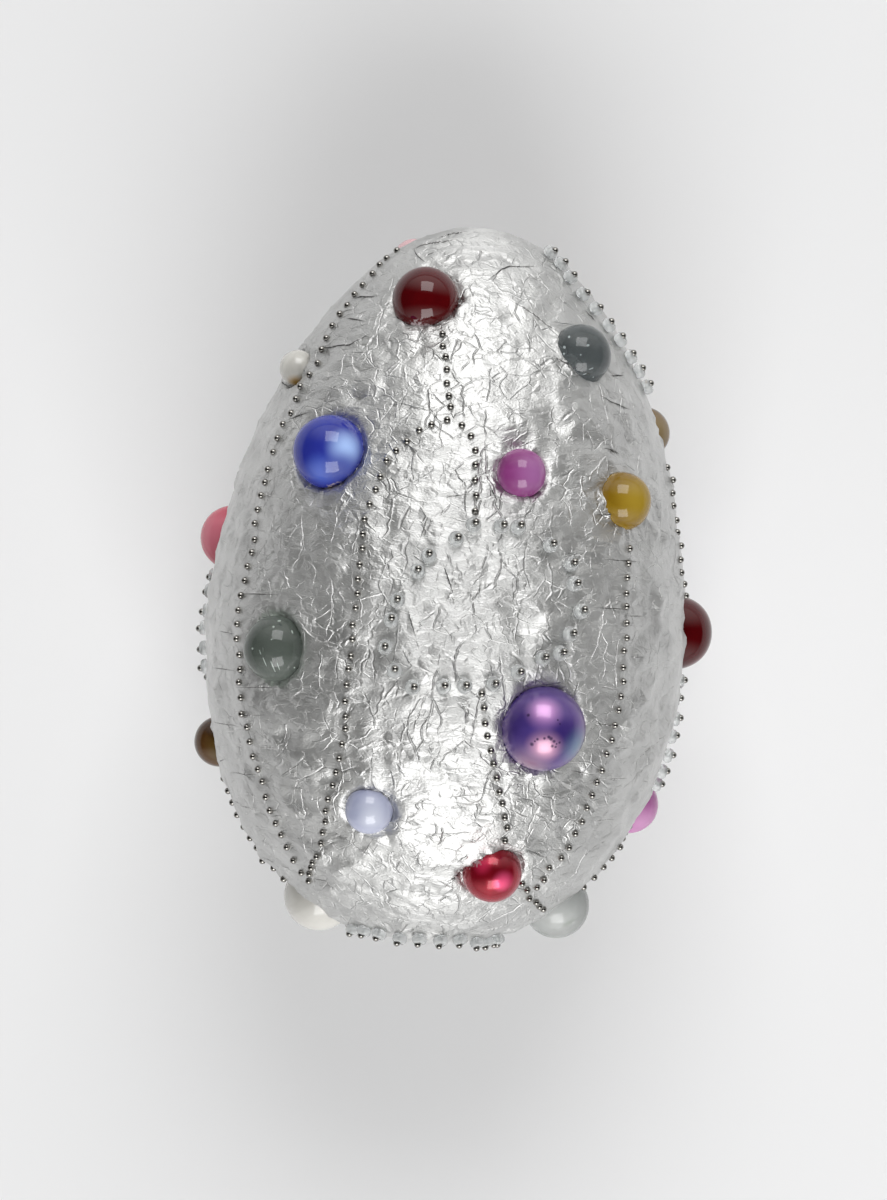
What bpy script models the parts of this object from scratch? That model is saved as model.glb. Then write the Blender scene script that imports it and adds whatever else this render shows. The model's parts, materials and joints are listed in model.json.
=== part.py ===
# Egg sculpture: an egg wrapped in silver foil and set with glass marbles, pearls, pins and seed beads.
#
# Units are metres and +Z is up. The egg lies with its long axis along Y and its pointed end at +Y.
# It rests on three marbles of its underside, each with a small flat spot.
# A place on the foil is a turn round the long axis in degrees, 0 at the top and positive toward +X,
# and a reach along it as a share of the half length, +1 at the pointed tip and -1 at the blunt one.

import bisect
import math
from typing import NamedTuple

import bmesh
import bpy
from mathutils import Matrix, Vector

# Egg
EGG_LENGTH = 0.205
EGG_WIDTH = 0.136
WIDEST_OFFSET = 0.0155  # how far the widest place lies from mid-length, toward the blunt end
TABLE_CLEARANCE = 0.0035  # under the widest place

# Marbles and their sockets
SOCKET_GAP = 0.0003  # between a marble and the foil round it
FOOT_MARBLE_DIAMETER = 0.022  # each marble that the egg rests on
FOOT_FLAT_RADIUS = 0.0027  # flat spot under each of them

# Pins and seed beads
PIN_HEAD_DIAMETER = 0.002  # where it leaves the foil
PIN_HEAD_HEIGHT = 0.0014  # above the foil
PIN_PITCH = 0.0041
BEAD_DIAMETER = 0.0043
BEAD_HEIGHT = 0.0034  # above the foil, with the pin head that holds the bead
BEAD_PITCH = 0.0058
STUD_BITE = 0.0004  # how deep a pin or bead runs into the egg's facets
STUD_MARGIN = 0.0001  # free foil round the root of a pin or bead

# Facets
EGG_STEPS = 24
EGG_RINGS = 16
BALL_STEPS = 10
BALL_RINGS = 6
LEG_SAMPLES = 40  # samples on each leg of a row when its pins are spaced
BEAD_TOP_SHARE = 0.75  # a bead's top as a share of its width at the foil
MERGE_DISTANCE = 0.00001
SLOPE_STEP = 0.00002  # half the stretch over which the egg's slope is measured


class Marble(NamedTuple):
    """One ball: its place on the foil, its size and its colour."""

    name: str
    turn: float
    reach: float
    diameter: float
    colour: str
    sink: float = 0.08  # depth of its centre under the foil, as a share of its radius
    foot: bool = False


MARBLES = [
    Marble("oxblood_marble_top", -21, 0.765, 0.0187, "5A0810"),
    Marble("grey_marble_top", 41.5, 0.655, 0.0172, "5B6466"),
    Marble("small_pearl", -70, 0.558, 0.0104, "E6E6E4"),
    Marble("blue_marble", -37.2, 0.327, 0.0206, "2B3FA8"),
    Marble("magenta_marble", 15.8, 0.311, 0.0137, "B04FA8"),
    Marble("olive_marble", 47, 0.266, 0.0163, "9A8420"),
    Marble("bronze_marble_right", 107.5, 0.48, 0.0151, "6B4A22"),
    Marble("coral_marble", -103, 0.08, 0.0189, "D0485C"),
    Marble("clear_marble", -43.4, -0.213, 0.0181, "7F9488"),
    Marble("oxblood_marble_right", 99.5, -0.076, 0.0214, "5A0810"),
    Marble("bronze_marble_left", -97, -0.497, 0.0146, "6B4A22"),
    Marble("violet_marble", 25.8, -0.361, 0.0234, "5A3F90"),
    Marble("pink_marble", 106, -0.575, 0.0169, "C070B8"),
    Marble("sky_pearl", -16.7, -0.62, 0.0133, "9AA8D0"),
    Marble("red_pearl", 22.3, -0.765, 0.0165, "B0102C"),
    Marble("large_pearl", -90, -0.92, 0.0202, "DEDED8", sink=0.29),
    Marble("grey_marble_low", 92, -0.868, 0.019, "9AA39F", sink=0.05),
    Marble("pale_pink_marble", -130.5, 0.91, 0.0127, "D9A9AB"),
    Marble("amber_marble", 142, 0.66, 0.0168, "A8701C"),
    Marble("teal_marble", -148, 0.5, 0.0155, "2F7C78"),
    Marble("lilac_marble", 134, 0.14, 0.0152, "A08CC0"),
    Marble("green_marble", 150, -0.72, 0.0178, "3F6B3A"),
    Marble("ivory_pearl", -138, -0.7, 0.0146, "E2DDCF"),
    Marble("foot_marble_left", -156, -0.3, FOOT_MARBLE_DIAMETER, "2B3FA8", foot=True),
    Marble("foot_marble_right", 156, -0.3, FOOT_MARBLE_DIAMETER, "5B6466", foot=True),
    Marble("foot_marble_front", 177, 0.25, FOOT_MARBLE_DIAMETER, "5A0810", foot=True),
]


class Stud(NamedTuple):
    """The plain shape of one kind of pin or bead: a cone, or a cone cut off at its top."""

    radius: float
    height: float
    pitch: float
    top_share: float
    sides: int

    def root_radius(self):
        """Its radius at the bottom of its root, where its sides have run on outward."""
        return self.radius * (1 + (1 - self.top_share) * stud_root() / self.height)


STUDS = {
    "bead": Stud(BEAD_DIAMETER / 2, BEAD_HEIGHT, BEAD_PITCH, BEAD_TOP_SHARE, sides=5),
    "pin": Stud(PIN_HEAD_DIAMETER / 2, PIN_HEAD_HEIGHT, PIN_PITCH, top_share=0.0, sides=4),
}


class Row(NamedTuple):
    """One row of pins or seed beads: the places that its line runs through."""

    kind: str
    route: list


def ring_route(turn, reach):
    """The outline that a ring of beads follows, as turns and reaches from its middle."""
    outline = [(-6, 0.2), (9, 0.21), (20, 0.12), (23, 0.01), (18, -0.11), (8, -0.165),
               (-4, -0.215), (-15.5, -0.22), (-21, -0.17), (-22.5, -0.07), (-17, 0.07), (-12, 0.145)]
    return [(turn + across, reach + along) for across, along in outline + outline[:1]]


ROWS = [
    Row("bead", ring_route(9, -0.05)),
    Row("bead", ring_route(-114, -0.175)),
    Row("bead", [(-180, -0.962), (-90, -0.962), (0, -0.962), (90, -0.962), (180, -0.962)]),
    Row("bead", [(60, 0.93), (56, 0.87), (60, 0.8), (70, 0.71), (76, 0.65), (84, 0.57), (96, 0.51)]),
    Row("bead", [(93, -0.21), (91, -0.34), (90, -0.45), (94, -0.5)]),
    Row("pin", [(-12, 0.7), (-9, 0.63), (-4.5, 0.48), (-4.8, 0.436)]),
    Row("pin", [(-4.8, 0.436), (-11, 0.41), (-19, 0.325), (-22, 0.17), (-21.5, -0.06), (-22.5, -0.4),
                (-24, -0.5), (-30, -0.66), (-36, -0.757), (-50, -0.84)]),
    Row("pin", [(-4.8, 0.436), (0.8, 0.42), (3.6, 0.355), (3.5, 0.3), (4.8, 0.22), (3.9, 0.16)]),
    Row("pin", [(9.5, -0.28), (11.7, -0.39), (14, -0.457), (17, -0.525), (21, -0.62), (23, -0.7)]),
    Row("pin", [(35, -0.785), (42, -0.825), (60, -0.865)]),
    Row("pin", [(48, 0.18), (46.3, 0.05), (46, -0.2), (47, -0.28), (46, -0.41), (45, -0.7),
                (42, -0.74), (43, -0.8)]),
    Row("pin", [(-70, 0.91), (-62, 0.83), (-60, 0.69), (-56, 0.53), (-59, 0.37), (-57, 0.0),
                (-55.5, -0.3), (-53, -0.49), (-51, -0.68), (-50, -0.84)]),
    Row("pin", [(-93, -0.56), (-90, -0.64), (-86, -0.72), (-80, -0.79), (-76, -0.85)]),
    Row("pin", [(82, 0.38), (78, 0.23), (77, 0.1), (82, 0.03)]),
    Row("pin", [(96, -0.63), (85, -0.68), (78, -0.74), (80, -0.8)]),
    Row("pin", [(122, 0.78), (124, 0.5), (116, 0.2), (120, -0.2), (128, -0.55), (124, -0.82)]),
]


def linear_colour(code):
    """A six-digit sRGB colour code as the linear colour that a shader takes."""
    shares = [int(code[i:i + 2], 16) / 255 for i in (0, 2, 4)]
    return [s / 12.92 if s <= 0.04045 else ((s + 0.055) / 1.055) ** 2.4 for s in shares] + [1.0]


def make_material(name, code, roughness, metallic=0.0):
    """A plain surface of one colour."""
    material = bpy.data.materials.new(name)
    material.use_nodes = True
    shader = material.node_tree.nodes["Principled BSDF"]
    shader.inputs["Base Color"].default_value = linear_colour(code)
    shader.inputs["Roughness"].default_value = roughness
    shader.inputs["Metallic"].default_value = metallic
    return material


def radius_at(y):
    """The egg's radius at y from mid-length: an ellipse whose widest place is moved aside."""
    rise = EGG_LENGTH ** 2 - 4 * y ** 2
    spread = EGG_LENGTH ** 2 + 8 * WIDEST_OFFSET * y + 4 * WIDEST_OFFSET ** 2
    return EGG_WIDTH / 2 * math.sqrt(max(rise, 0.0) / spread)


def axis_height():
    """Height of the egg's long axis over the table."""
    return EGG_WIDTH / 2 + TABLE_CLEARANCE


def stud_root():
    """How far a stud reaches under the true curve, past the middles of the egg's facets."""
    bulge_round = 1 - math.cos(math.pi / EGG_STEPS)
    bulge_along = 1 - math.cos(math.pi / (2 * EGG_RINGS))
    return EGG_WIDTH / 2 * (bulge_round + bulge_along) + STUD_BITE


def foil_place(turn, reach):
    """A point on the foil, measured from the egg's middle, and the way out of the foil there."""
    y = reach * EGG_LENGTH / 2
    slope = (radius_at(y + SLOPE_STEP) - radius_at(y - SLOPE_STEP)) / (2 * SLOPE_STEP)
    angle = math.radians(turn)
    around = Vector((math.sin(angle), 0, math.cos(angle)))
    outward = (around - Vector((0, slope, 0))).normalized()
    return around * radius_at(y) + Vector((0, y, 0)), outward


def marble_place(marble):
    """A marble's centre, measured from the egg's middle, and the way its pole points."""
    if marble.foot:
        radius = marble.diameter / 2
        drop = axis_height() - math.sqrt(radius ** 2 - FOOT_FLAT_RADIUS ** 2)
        across = -drop * math.tan(math.radians(marble.turn))
        return Vector((across, marble.reach * EGG_LENGTH / 2, -drop)), Vector((0, 0, 1))
    point, outward = foil_place(marble.turn, marble.reach)
    return point - outward * marble.sink * marble.diameter / 2, outward


def egg_profile():
    """The egg's outline from the pointed tip to the blunt one, as radius and height pairs."""
    heights = [EGG_LENGTH / 2 * math.cos(math.pi * i / EGG_RINGS) for i in range(EGG_RINGS + 1)]
    return [(radius_at(height), height) for height in heights]


def ball_profile(marble, gap=0.0):
    """A ball's outline from its upper pole down, ending in a flat spot under a foot."""
    radius = marble.diameter / 2
    flat = math.asin(FOOT_FLAT_RADIUS / radius) if marble.foot else 0.0
    grown = radius + gap
    angles = [(math.pi - flat) * i / BALL_RINGS for i in range(BALL_RINGS + 1)]
    points = [(grown * math.sin(angle), grown * math.cos(angle)) for angle in angles]
    return points + [(0.0, points[-1][1])] if marble.foot else points


def turned_object(name, profile, steps):
    """A solid turned round its own Z axis from radius and height pairs."""
    mesh = bpy.data.meshes.new(name)
    points = [(radius, 0.0, height) for radius, height in profile]
    mesh.from_pydata(points, [(i, i + 1) for i in range(len(points) - 1)], [])
    turned = bpy.data.objects.new(name, mesh)
    screw = turned.modifiers.new("Turn", "SCREW")
    screw.steps = steps
    screw.render_steps = steps
    screw.use_merge_vertices = True
    screw.merge_threshold = MERGE_DISTANCE
    return turned


def stand_on(child, axis, place, pole):
    """Set a turned object at a place measured from the egg's middle, with its pole outward."""
    child.parent = axis
    child.location = place
    child.rotation_mode = "QUATERNION"
    child.rotation_quaternion = pole.to_track_quat("Z", "Y")


def make_helper(helper, collection):
    """Keep a cutter or a joined-on shape out of the finished model."""
    collection.objects.link(helper)
    helper.hide_render = True
    helper.display_type = "WIRE"


def make_marbles(axis, parts, sockets):
    """Every ball, with the cutter of its socket a little larger round it."""
    for marble in MARBLES:
        place, pole = marble_place(marble)
        ball = turned_object(marble.name, ball_profile(marble), BALL_STEPS)
        stand_on(ball, axis, place, pole)
        parts.objects.link(ball)
        ball.data.materials.append(make_material(marble.name, marble.colour, roughness=0.08))
        cutter = turned_object(marble.name + "_socket", ball_profile(marble, SOCKET_GAP), BALL_STEPS)
        stand_on(cutter, axis, place, pole)
        make_helper(cutter, sockets)


def spaced_places(row, pitch):
    """Places along a row at an even pitch that fits its length."""
    samples = []
    for (turn_a, reach_a), (turn_b, reach_b) in zip(row.route, row.route[1:]):
        for i in range(LEG_SAMPLES):
            share = i / LEG_SAMPLES
            samples.append((turn_a + (turn_b - turn_a) * share, reach_a + (reach_b - reach_a) * share))
    samples.append(row.route[-1])
    places = [foil_place(turn, reach) for turn, reach in samples]
    walked = [0.0]
    for (before, _), (after, _) in zip(places, places[1:]):
        walked.append(walked[-1] + (after - before).length)
    gaps = max(1, round(walked[-1] / pitch))
    marks = [walked[-1] * i / gaps for i in range(gaps + 1)]
    return [places[min(bisect.bisect_left(walked, mark), len(places) - 1)] for mark in marks]


def clear_places(kind, taken):
    """Places for one kind of stud that keep off the marbles and off every stud set before."""
    radius = STUDS[kind].root_radius()
    marbles = [(marble_place(marble)[0], marble.diameter / 2) for marble in MARBLES]
    chosen = []
    for row in (row for row in ROWS if row.kind == kind):
        for point, outward in spaced_places(row, STUDS[kind].pitch):
            off_marbles = all((point - centre).length > ball + radius + SOCKET_GAP + STUD_MARGIN
                              for centre, ball in marbles)
            off_studs = all((point - other).length > radius + other_radius + STUD_MARGIN
                            for other, other_radius in taken)
            if off_marbles and off_studs:
                chosen.append((point, outward))
                taken.append((point, radius))
    return chosen


def make_studs(kind, name, places):
    """Low studs standing on the foil, with roots that run into it."""
    size = STUDS[kind]
    root = stud_root()
    shape = bmesh.new()
    for point, outward in places:
        middle = point + outward * (size.height - root) / 2
        turned = outward.to_track_quat("Z", "Y").to_matrix().to_4x4()
        bmesh.ops.create_cone(shape, cap_ends=True, segments=size.sides, radius1=size.root_radius(),
                              radius2=size.radius * size.top_share, depth=size.height + root,
                              matrix=Matrix.Translation(middle) @ turned)
    mesh = bpy.data.meshes.new(name)
    shape.to_mesh(mesh)
    shape.free()
    return bpy.data.objects.new(name, mesh)


def add_boolean(target, name, operation, operand=None, collection=None):
    """Cut or join one object, or all of a collection, in a single exact step."""
    step = target.modifiers.new(name, "BOOLEAN")
    step.operation = operation
    step.solver = "EXACT"
    if collection:
        step.operand_type = "COLLECTION"
        step.collection = collection
    else:
        step.object = operand


def make_egg(axis, parts, sockets, studs):
    """The foil-covered egg with its sockets cut and its pins and beads joined on."""
    egg = turned_object("foil_egg", egg_profile(), EGG_STEPS)
    stand_on(egg, axis, Vector((0, 0, 0)), Vector((0, 1, 0)))
    parts.objects.link(egg)
    egg.data.materials.append(make_material("silver_foil", "C9CACB", roughness=0.35, metallic=1.0))
    add_boolean(egg, "Sockets", "DIFFERENCE", collection=sockets)
    taken = []
    for kind, name in (("bead", "seed_beads"), ("pin", "pin_heads")):
        helper = make_studs(kind, name, clear_places(kind, taken))
        helper.parent = axis
        make_helper(helper, studs)
        add_boolean(egg, helper.name, "UNION", operand=helper)


def centre_over_origin(axis, parts):
    """Move the whole egg so that it stands on z = 0 with the middle of its footprint at the origin."""
    bpy.context.view_layer.update()
    graph = bpy.context.evaluated_depsgraph_get()
    points = []
    for part in parts.objects:
        if part.type == "MESH":
            solid = part.evaluated_get(graph)
            points += [solid.matrix_world @ vertex.co for vertex in solid.data.vertices]
    low = Vector([min(point[i] for point in points) for i in range(3)])
    high = Vector([max(point[i] for point in points) for i in range(3)])
    axis.location -= Vector(((low.x + high.x) / 2, (low.y + high.y) / 2, low.z))


def new_collection(name):
    """An empty collection in the scene."""
    collection = bpy.data.collections.new(name)
    bpy.context.scene.collection.children.link(collection)
    return collection


def main():
    """Clear the scene and build the egg."""
    for leftover in list(bpy.data.objects):
        bpy.data.objects.remove(leftover, do_unlink=True)
    parts = new_collection("egg_sculpture")
    sockets = new_collection("socket_cutters")
    studs = new_collection("studs_joined_on")
    axis = bpy.data.objects.new("egg_axis", None)
    axis.location = (0, 0, axis_height())
    parts.objects.link(axis)
    make_marbles(axis, parts, sockets)
    make_egg(axis, parts, sockets, studs)
    centre_over_origin(axis, parts)


main()
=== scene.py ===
# The looks of the egg sculpture: crumpled silver foil, glass marbles, pearls, steel pins and seed beads.
#
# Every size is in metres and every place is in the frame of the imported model, whose solids stay where
# they are. A place on the foil is a turn round the long axis in degrees, 0 at the top and positive
# toward +X, and a reach along it as a share of the half length, +1 at the pointed tip.

import bisect
import json
import math
import random

import bmesh
import bpy
import numpy as np
from mathutils import Matrix, Vector, noise
from mathutils.bvhtree import BVHTree
from mathutils.kdtree import KDTree


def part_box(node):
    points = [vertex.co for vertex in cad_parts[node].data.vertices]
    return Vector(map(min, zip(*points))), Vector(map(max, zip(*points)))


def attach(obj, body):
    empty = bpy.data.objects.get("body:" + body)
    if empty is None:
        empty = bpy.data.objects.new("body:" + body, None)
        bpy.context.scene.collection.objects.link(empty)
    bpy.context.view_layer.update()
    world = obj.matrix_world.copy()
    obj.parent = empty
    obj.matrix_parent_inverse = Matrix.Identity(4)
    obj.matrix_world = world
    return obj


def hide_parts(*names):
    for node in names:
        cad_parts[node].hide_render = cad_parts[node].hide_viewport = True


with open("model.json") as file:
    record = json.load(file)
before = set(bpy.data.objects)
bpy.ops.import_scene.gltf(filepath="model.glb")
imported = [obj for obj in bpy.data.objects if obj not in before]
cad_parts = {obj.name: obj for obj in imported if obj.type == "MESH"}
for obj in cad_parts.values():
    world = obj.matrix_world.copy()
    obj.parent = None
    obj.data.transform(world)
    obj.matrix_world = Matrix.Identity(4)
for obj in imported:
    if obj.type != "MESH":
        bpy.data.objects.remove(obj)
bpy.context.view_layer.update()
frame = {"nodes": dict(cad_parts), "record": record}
bpy.ops.object.select_all(action="DESELECT")

# The egg's curve, as in the model
EGG_LENGTH = 0.205
EGG_WIDTH = 0.136
WIDEST_OFFSET = 0.0155
AXIS_HEIGHT = 0.0715
FOOT_REACH = -0.3  # where the left and right foot marbles stand under the egg
SLOPE_STEP = 0.00002
TIP = 0.99999  # the reach where the curve is taken to end
NEAR_TIP = 0.999  # the furthest reach where the way out of the foil is taken
AREA_SHARE = 0.88  # the egg's surface as a share of pi times its length and width

# Foil
FOIL_CELLS = (10, 9)  # two rounds of cuts along each side of the cube that the foil starts from
RIM_BANDS = (0.0018, 0.0008)  # foil this near a marble's edge is made finer, round by round
FOLD_BANDS = (0.0011, 0.0004)
RIM_TURN = 4  # degrees between the spots that stand for a marble's edge
FACET_LAYERS = [  # facet size, slope, squeeze along the egg, seed
    (0.016, 0.10, 1.0, 11),
    (0.009, 0.25, 1.5, 12),
    (0.005, 0.28, 1.5, 13),
]
SOCKET_GAP = 0.0003  # between a marble and the pins and beads beside it
BOWL_GAP = 0.00005  # between a marble and the foil pressed against it
LEAST_RIM = 0.3  # the edge where foil meets a marble is never less than this share of its radius
PRESS_REACH = 0.016  # how far past a marble its pressing reaches
BELLY_DEPTH = 1.2  # foil deeper than this many radii under a marble's centre is left as it is
RIM_SNAP = 0.0003  # foil this near the edge where it meets a marble is drawn onto the edge
DIP = 0.0011  # how far the foil dips beside a marble
DIP_REACH = 0.0012
PUCKER = 0.00022  # wrinkles that run out from a marble
PUCKER_REACH = 0.005
PUCKER_COUNT = 15
FOLD_LIFT = 0.0003  # upper sheet of a fold over the lower one
FOLD_REACH = 0.0016
FOLD_CLEAR = 0.0022  # the side distance of foil that no fold is near
FOLD_WIDTH = 0.0002  # half the width of the line of painted shade along a fold
FOLD_END = 0.0006  # a fold stops this far past its last spot
FOLD_STEP = 0.0004
FOLD_SAMPLES = 12

CREASE_NETS = [  # spacing, width and height of the creases, and how they are squeezed along each axis
    (0.0095, 0.00038, 0.00018, (1.0, 1.0, 1.0)),
    (0.0042, 0.00028, 0.00009, (1.0, 1.0, 1.0)),
    (0.0095, 0.0005, 0.00021, (1.5, 0.4, 1.5)),
]
CREASE_SHADE = 0.1  # how much painted shade darkens the foil's colour along a sunk crease
FINE_FACETS = (0.004, 0.22)  # size and slope
WRINKLES = (0.0055, 0.0003)  # spacing and height of the ridges between the creases
GRAIN = (0.0007, 0.00016)  # spacing and height of the finest crumple
WANDER = (0.008, 0.003)  # how far apart creases bend, and how far they stray
FOIL_CLOUD = 0.012  # size of the rubbed and unrubbed patches
FOIL_TONES = ("C6C6C5", "DADAD9")
FOIL_ROUGHNESS = (0.47, 0.57)
FOIL_ROLLED = 0.5  # rolling the foil leaves it shinier across than along

# Pins and beads
PIN_HEAD = 0.002
PIN_PITCH = 0.0041
PIN_RISE = 0.3  # how far a head's centre stands over the foil, as a share of its radius
BEAD_WIDTH = 0.0044
BEAD_TALL = 0.0027
BEAD_HOLE = 0.0008
BEAD_PITCH = 0.0058
BEAD_RISE = 0.45  # how far a bead's middle stands over the foil, as a share of its height
BEAD_PIN_RISE = 0.95  # the same for the head of the pin that holds it
BEAD_PIN_ASIDE = 0.0005
PLACE_SCATTER = 0.0003
LEAN_SCATTER = 0.12
LEG_SAMPLES = 40

# Marbles
FOOT_FLAT_RADIUS = 0.0027
BALL_WARP = 0.012  # how far a marble is out of round, as a share of its radius
BUBBLE_SLANT = 0.35  # the cords and bubbles in the glass lie askew to the egg, in radians

# The photograph
PHOTO_HEIGHT_PX = 1200
PHOTO_MIDDLE_PX = (443.5, 600.0)
EGG_MIDDLE_PX = (450.1, 585.0)
METRES_PER_PX = 0.0002863
EGG_LEAN = math.radians(5.1)  # the pointed end leans to the right
CAMERA_DISTANCE = 1.2
SENSOR = 36.0
SOFTBOX_DISTANCE = 1.25
SOFTBOX_SIZE = 0.79
SOFTBOX_ACROSS = 6  # degrees to the right of overhead
SOFTBOX_ALONG = 48  # degrees toward either end of the egg
FAR_WATTS = 8.0
NEAR_WATTS = 9.1
ROOM_ENDS = "F2F2F0"
ROOM_MIDDLE = "282828"
ROOM_MIDDLE_SPAN = 0.25  # how far from overhead the room stays dark
ROOM_RIGHT_SHARE = 0.06
ROOM_STRENGTH = 1.5

# The egg's middle, found from the two foot marbles that stand side by side
feet = [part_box("foot_marble_left"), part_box("foot_marble_right")]
AXIS = Vector((sum((low.x + high.x) / 4 for low, high in feet), 0.0, AXIS_HEIGHT))
AXIS.y = (feet[0][0].y + feet[0][1].y) / 2 - FOOT_REACH * EGG_LENGTH / 2


def linear(code):
    """A six-digit sRGB colour as the linear colour that a shader takes."""
    shares = [int(code[i:i + 2], 16) / 255 for i in (0, 2, 4)]
    return [s / 12.92 if s <= 0.04045 else ((s + 0.055) / 1.055) ** 2.4 for s in shares] + [1.0]


def new_material(name):
    """An empty material, with its output's surface still free."""
    material = bpy.data.materials.new(name)
    material.use_nodes = True
    return material


def add(material, kind, inputs=None, **settings):
    """Add a shader node with its settings; an input is a value, or a node and its output's name."""
    tree = material.node_tree
    node = tree.nodes.new("ShaderNode" + kind)
    for name, value in settings.items():
        setattr(node, name, value)
    fill(material, node, inputs or {})
    return node


def fill(material, node, inputs):
    """Set or link a node's inputs."""
    for name, value in inputs.items():
        if isinstance(value, tuple) and isinstance(value[0], bpy.types.Node):
            material.node_tree.links.new(value[0].outputs[value[1]], node.inputs[name])
        else:
            node.inputs[name].default_value = value


def shader_of(material):
    """The material's one surface shader."""
    return material.node_tree.nodes["Principled BSDF"]


# The egg's shape

def radius_at(y):
    """The egg's radius at y from mid-length."""
    rise = EGG_LENGTH ** 2 - 4 * y ** 2
    spread = EGG_LENGTH ** 2 + 8 * WIDEST_OFFSET * y + 4 * WIDEST_OFFSET ** 2
    return EGG_WIDTH / 2 * math.sqrt(max(rise, 0.0) / spread)


def foil_place(turn, reach):
    """A point on the egg's curve and the way out of the foil there."""
    y = reach * EGG_LENGTH / 2
    slope = (radius_at(y + SLOPE_STEP) - radius_at(y - SLOPE_STEP)) / (2 * SLOPE_STEP)
    angle = math.radians(turn)
    around = Vector((math.sin(angle), 0, math.cos(angle)))
    outward = (around - Vector((0, slope, 0))).normalized()
    return AXIS + around * radius_at(y) + Vector((0, y, 0)), outward


def ball_of(name):
    """Centre and radius of a marble, from its solid."""
    low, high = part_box(name)
    if name.startswith("foot_"):
        tall = high.z - low.z
        radius = (tall ** 2 + FOOT_FLAT_RADIUS ** 2) / (2 * tall)
        return Vector(((low.x + high.x) / 2, (low.y + high.y) / 2, high.z - radius)), radius
    centre = (low + high) / 2
    radius = max((vertex.co - centre).length for vertex in frame["nodes"][name].data.vertices)
    return centre, radius


def outward_at(point):
    """The way out of the foil nearest to a point."""
    across = point - AXIS
    turn = math.degrees(math.atan2(across.x, across.z))
    reach = max(-NEAR_TIP, min(NEAR_TIP, across.y / (EGG_LENGTH / 2)))
    return foil_place(turn, reach)[1]


MARBLES = [name for name in frame["nodes"] if name != "foil_egg"]
BALLS = {name: ball_of(name) for name in MARBLES}


# Crumpled foil

FOLDS = [  # folds and seams that the photograph shows, as turns and reaches
    [(-40, 0.953), (-32, 0.967), (-20, 0.977)], [(-51, 0.916), (-42, 0.929), (-20, 0.945)],
    [(-51, 0.916), (-31, 0.871)], [(-34, 0.89), (-29, 0.901)],
    [(5, 0.833), (13, 0.869), (18, 0.882), (36, 0.89)], [(16, 0.776), (23, 0.751), (33, 0.708)],
    [(29, 0.631), (34, 0.608)], [(53, 0.606), (62, 0.613)], [(45, 0.543), (49, 0.531), (58, 0.519)],
    [(42, 0.403), (48, 0.396)], [(55, 0.781), (58, 0.756)], [(-61, 0.76), (-46, 0.768)],
    [(-54, 0.7), (-44, 0.693)], [(-59, 0.612), (-44, 0.622), (-38, 0.654)], [(-58, 0.406), (-49, 0.427)],
    [(-3, 0.23), (2, 0.239)], [(7, 0.278), (10, 0.223)], [(-7, 0.171), (-8, 0.117)],
    [(-2, 0.048), (1, -0.028)], [(-9, -0.086), (-7, -0.142)], [(-58, -0.077), (-44, -0.069)],
    [(-66, -0.182), (-59, -0.185)], [(-72, -0.285), (-59, -0.284)], [(-56, -0.328), (-42, -0.317)],
    [(-57, -0.403), (-47, -0.394)], [(-74, -0.432), (-58, -0.433)], [(-49, -0.483), (-44, -0.479)],
    [(-68, -0.565), (-54, -0.563)], [(-76, -0.647), (-58, -0.659)], [(-53, -0.67), (-45, -0.661)],
    [(-62, -0.813), (-54, -0.823)], [(-40, -0.795), (-35, -0.804), (-30, -0.832)],
    [(-32, -0.687), (-28, -0.694), (-23, -0.712)], [(-20, -0.745), (-16, -0.696)],
    [(-43, -0.553), (-34, -0.504)], [(-22, -0.895), (-6, -0.88)],
    [(12, -0.895), (29, -0.872), (46, -0.838)], [(27, -0.93), (44, -0.93), (57, -0.88), (67, -0.872)],
    [(3, -0.566), (15, -0.54)], [(8, -0.809), (13, -0.775)], [(28, -0.694), (38, -0.71)],
    [(40, -0.334), (46, -0.34)], [(48, -0.399), (54, -0.398)], [(37, -0.47), (44, -0.476)],
    [(46, -0.485), (57, -0.482)], [(33, -0.59), (46, -0.609)], [(49, -0.603), (58, -0.596)],
    [(59, -0.438), (65, -0.395), (73, -0.359)], [(37, 0.221), (43, 0.224)], [(40, 0.104), (51, 0.106)],
    [(37, -0.027), (47, -0.025)], [(47, -0.042), (53, -0.039)], [(50, -0.151), (54, -0.149)],
    [(13.3, -0.763), (11, -0.784), (7.7, -0.801)], [(26.7, -0.669), (31.7, -0.689), (38, -0.71)],
]
HIDDEN_FOLDS = 40  # folds of the same kind on the side that the photograph doesn't show

# How far the foil dips beside some marbles, where it isn't the usual depth
DIPS = {
    "grey_marble_top": 0.0002, "small_pearl": 0.003, "blue_marble": 0.0015, "olive_marble": 0.0002,
    "clear_marble": 0.0014, "violet_marble": 0.0009, "sky_pearl": 0.0008, "large_pearl": 0.003,
    "red_pearl": 0.0016, "pale_pink_marble": 0.0024, "pink_marble": 0.0018,
}

# Where the foil laps over a marble instead: the side, in degrees from the right of the picture
# toward the pointed tip, and how far it stands over the dip there
COVERS = {"red_pearl": (125, 0.002), "grey_marble_top": (200, 0.0008), "olive_marble": (205, 0.0007),
          "oxblood_marble_top": (265, 0.001)}


def hidden_folds():
    """Short folds across the egg on its hidden side, scattered with a fixed seed."""
    rng = random.Random(31)
    folds = []
    for _ in range(HIDDEN_FOLDS):
        turn, reach = rng.uniform(80, 280), rng.uniform(-0.9, 0.9)
        across, along = rng.uniform(6, 14), rng.uniform(-0.02, 0.02)
        folds.append([(turn, reach), (turn + across, reach + along)])
    return folds


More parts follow.
